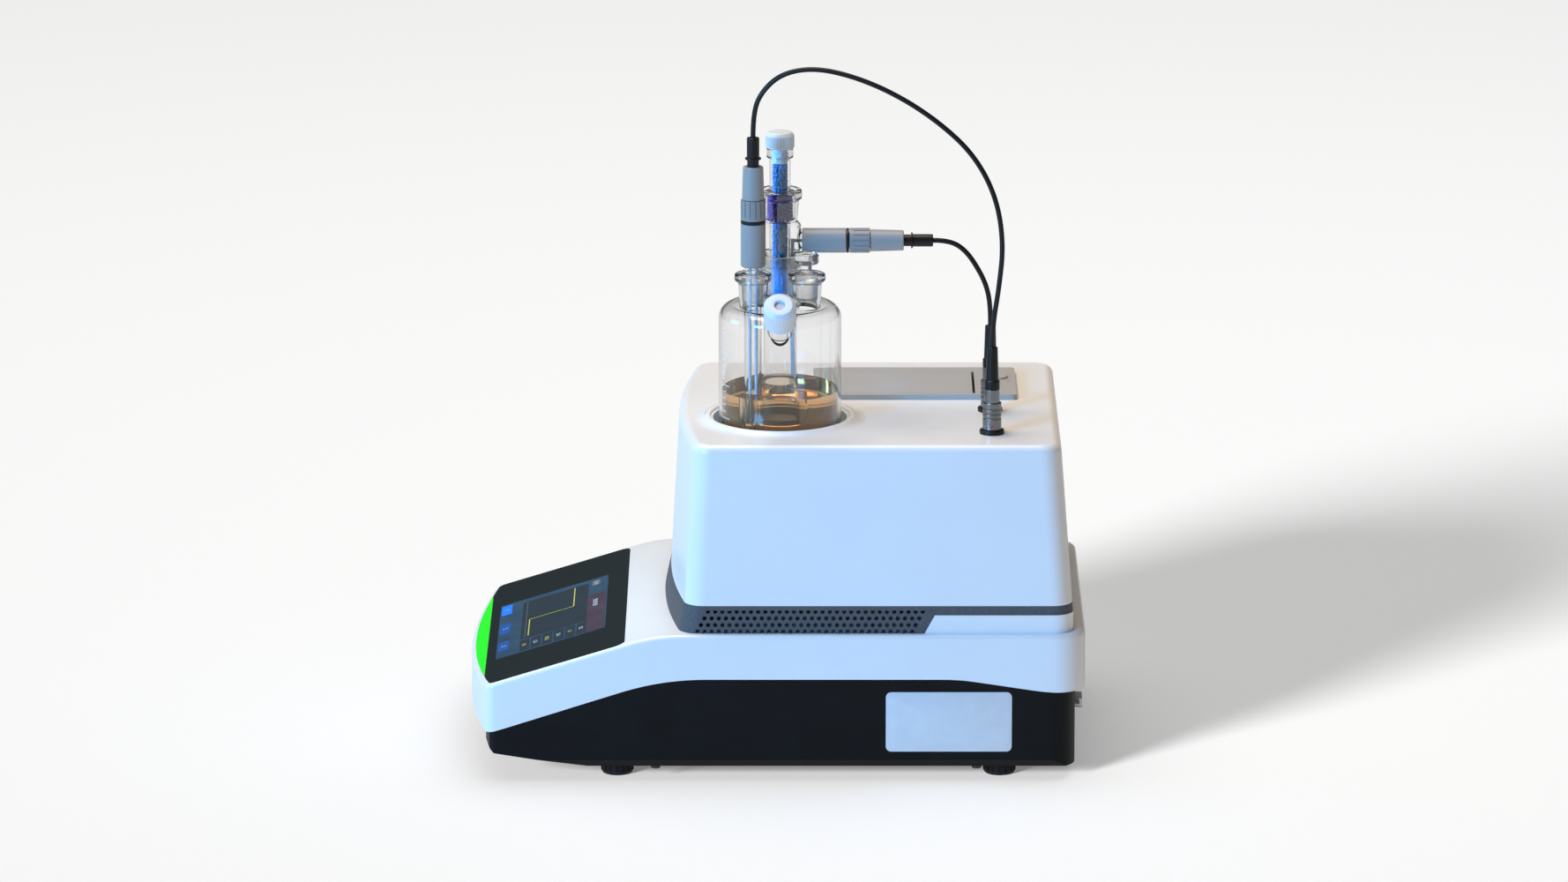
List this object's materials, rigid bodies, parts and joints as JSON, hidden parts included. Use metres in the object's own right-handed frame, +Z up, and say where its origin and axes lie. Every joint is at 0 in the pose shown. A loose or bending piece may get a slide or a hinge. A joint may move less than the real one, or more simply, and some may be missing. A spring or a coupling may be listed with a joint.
{
  "type": "coulometric moisture titrator",
  "caption": "Bench titrator: sloping display base, tapered housing with a stirred glass cell, two cabled electrodes, drying tube and panel printer.",
  "frame": {"origin": "centre of the body's footprint, at the plane its feet stand on", "axes": "+Z up, -X towards the display end, +Y across the width"},
  "size_m": [0.462, 0.284, 0.5303],
  "materials": {
    "cover_white": "satin white moulding",
    "base_black": "fine matt black moulding",
    "band_grey": "grained dark grey",
    "foot_rubber": "matt",
    "display_black": "polished black glass",
    "status_green": "lit green diffuser",
    "clear_glass": "clear borosilicate",
    "frosted_glass": "sintered",
    "electrolyte_amber": "clear amber liquid",
    "electrode_grey": "satin light grey",
    "fitting_white": "white moulding",
    "seal_black": "matt",
    "platinum": "bright wire",
    "plug_nickel": "satin nickel plate",
    "cable_black": "satin black jacket",
    "board_green": "solder mask",
    "steel": "plain",
    "magnet_nickel": "plated magnet",
    "panel_grey": "pale warm grey",
    "paper_white": "thermal paper",
    "bead_blue": "indicating beads"
  },
  "bodies": {
    "root": {"base_tray": "base_black", "lower_cover": "cover_white", "vent_band": "band_grey", "upper_housing": "cover_white", "cell_well": "cover_white", "feet": "foot_rubber", "display_glass": "display_black", "display_module": "steel", "status_light": "status_green", "main_board": "board_green", "power_supply": "steel", "mains_inlet": "base_black", "serial_port": "steel", "stirrer_motor": "steel", "stirrer_bracket": "steel", "printer_bezel": "panel_grey", "print_head": "steel", "measuring_socket": "base_black", "generator_socket": "base_black", "measuring_plug_core": "plug_nickel", "generator_plug_core": "plug_nickel", "measuring_plug_boot": "cable_black", "generator_plug_boot": "cable_black", "housing_screws": "steel"},
    "cell": {"vessel": "clear_glass", "electrolyte": "electrolyte_amber", "measuring_head": "electrode_grey", "measuring_seal": "seal_black", "measuring_cone": "electrode_grey", "measuring_relief": "cable_black", "measuring_stem": "clear_glass", "platinum_pins": "platinum", "generator_glass": "clear_glass", "diaphragm": "frosted_glass", "cathode_lead": "platinum", "generator_head": "electrode_grey", "generator_seal": "seal_black", "generator_cone": "electrode_grey", "generator_relief": "cable_black", "measuring_cable": "cable_black", "generator_cable": "cable_black"},
    "stopper": {"stopper": "clear_glass"},
    "drying_tube": {"drying_tube": "clear_glass", "desiccant": "bead_blue"},
    "drying_cap": {"drying_cap": "fitting_white"},
    "injection_cap": {"injection_cap": "fitting_white", "injection_septum": "fitting_white"},
    "measuring_collar": {"measuring_collar": "electrode_grey"},
    "generator_collar": {"generator_collar": "electrode_grey"},
    "drive_magnet": {"drive_magnet_carrier": "fitting_white", "drive_magnets": "magnet_nickel"},
    "stir_bar": {"stir_bar": "fitting_white"},
    "printer_lid": {"printer_lid": "panel_grey"},
    "platen": {"platen_roller": "seal_black"},
    "paper_roll": {"paper_roll": "paper_white", "paper_core": "fitting_white"},
    "feed_button": {"feed_button": "panel_grey"},
    "power_rocker": {"power_rocker": "base_black"},
    "measuring_sleeve": {"measuring_plug_sleeve": "plug_nickel"},
    "generator_sleeve": {"generator_plug_sleeve": "plug_nickel"}
  },
  "joints": [
    {"name": "cell_lift", "type": "slide", "parent": "root", "child": "cell", "axis": [0, 0, 1], "range_m": [0, 0.06]},
    {"name": "stopper_lift", "type": "slide", "parent": "cell", "child": "stopper", "axis": [0, 0, 1], "range_m": [0, 0.04]},
    {"name": "drying_tube_lift", "type": "slide", "parent": "cell", "child": "drying_tube", "axis": [0, 0, 1], "range_m": [0, 0.09]},
    {"name": "drying_cap_lift", "type": "slide", "parent": "drying_tube", "child": "drying_cap", "axis": [0, 0, 1], "range_m": [0, 0.02]},
    {"name": "injection_cap_pull", "type": "slide", "parent": "cell", "child": "injection_cap", "axis": [0, -0.6494, 0.7604], "range_m": [0, 0.02]},
    {"name": "measuring_collar_turn", "type": "hinge", "parent": "cell", "child": "measuring_collar", "pos_m": [-0.017, -0.061, 0.42], "axis": [0, 0, 1], "continuous": true},
    {"name": "generator_collar_turn", "type": "hinge", "parent": "cell", "child": "generator_collar", "pos_m": [0.06, -0.026, 0.389], "axis": [1, 0, 0], "continuous": true},
    {"name": "drive_magnet_spin", "type": "hinge", "parent": "root", "child": "drive_magnet", "pos_m": [0.003, -0.045, 0.22], "axis": [0, 0, 1], "continuous": true},
    {"name": "stir_bar_spin", "type": "hinge", "parent": "cell", "child": "stir_bar", "pos_m": [0.003, -0.045, 0.238], "axis": [0, 0, 1], "continuous": true},
    {"name": "printer_lid_open", "type": "hinge", "parent": "root", "child": "printer_lid", "pos_m": [0.0464, 0.0475, 0.2586], "axis": [0, -1, 0], "range_deg": [0, 90]},
    {"name": "platen_spin", "type": "hinge", "parent": "printer_lid", "child": "platen", "pos_m": [0.145, 0.0475, 0.25], "axis": [0, 1, 0], "continuous": true},
    {"name": "paper_roll_spin", "type": "hinge", "parent": "root", "child": "paper_roll", "pos_m": [0.072, 0.0475, 0.2273], "axis": [0, 1, 0], "continuous": true},
    {"name": "feed_button_press", "type": "slide", "parent": "root", "child": "feed_button", "axis": [0, 0, -1], "range_m": [0, 0.0012], "stiffness_N_per_m": 200, "springref_m": -0.001},
    {"name": "power_rocker_tilt", "type": "hinge", "parent": "root", "child": "power_rocker", "pos_m": [0.2226, 0.088, 0.042], "axis": [0, 1, 0], "range_deg": [0, 20]},
    {"name": "measuring_sleeve_pull", "type": "slide", "parent": "root", "child": "measuring_sleeve", "axis": [0, 0, 1], "range_m": [0, 0.0015], "stiffness_N_per_m": 200, "springref_m": -0.001},
    {"name": "generator_sleeve_pull", "type": "slide", "parent": "root", "child": "generator_sleeve", "axis": [0, 0, 1], "range_m": [0, 0.0015], "stiffness_N_per_m": 200, "springref_m": -0.001}
  ],
  "couplings": [
    {"joint": "stir_bar_spin", "follows": "drive_magnet_spin", "ratio": 1}
  ]
}
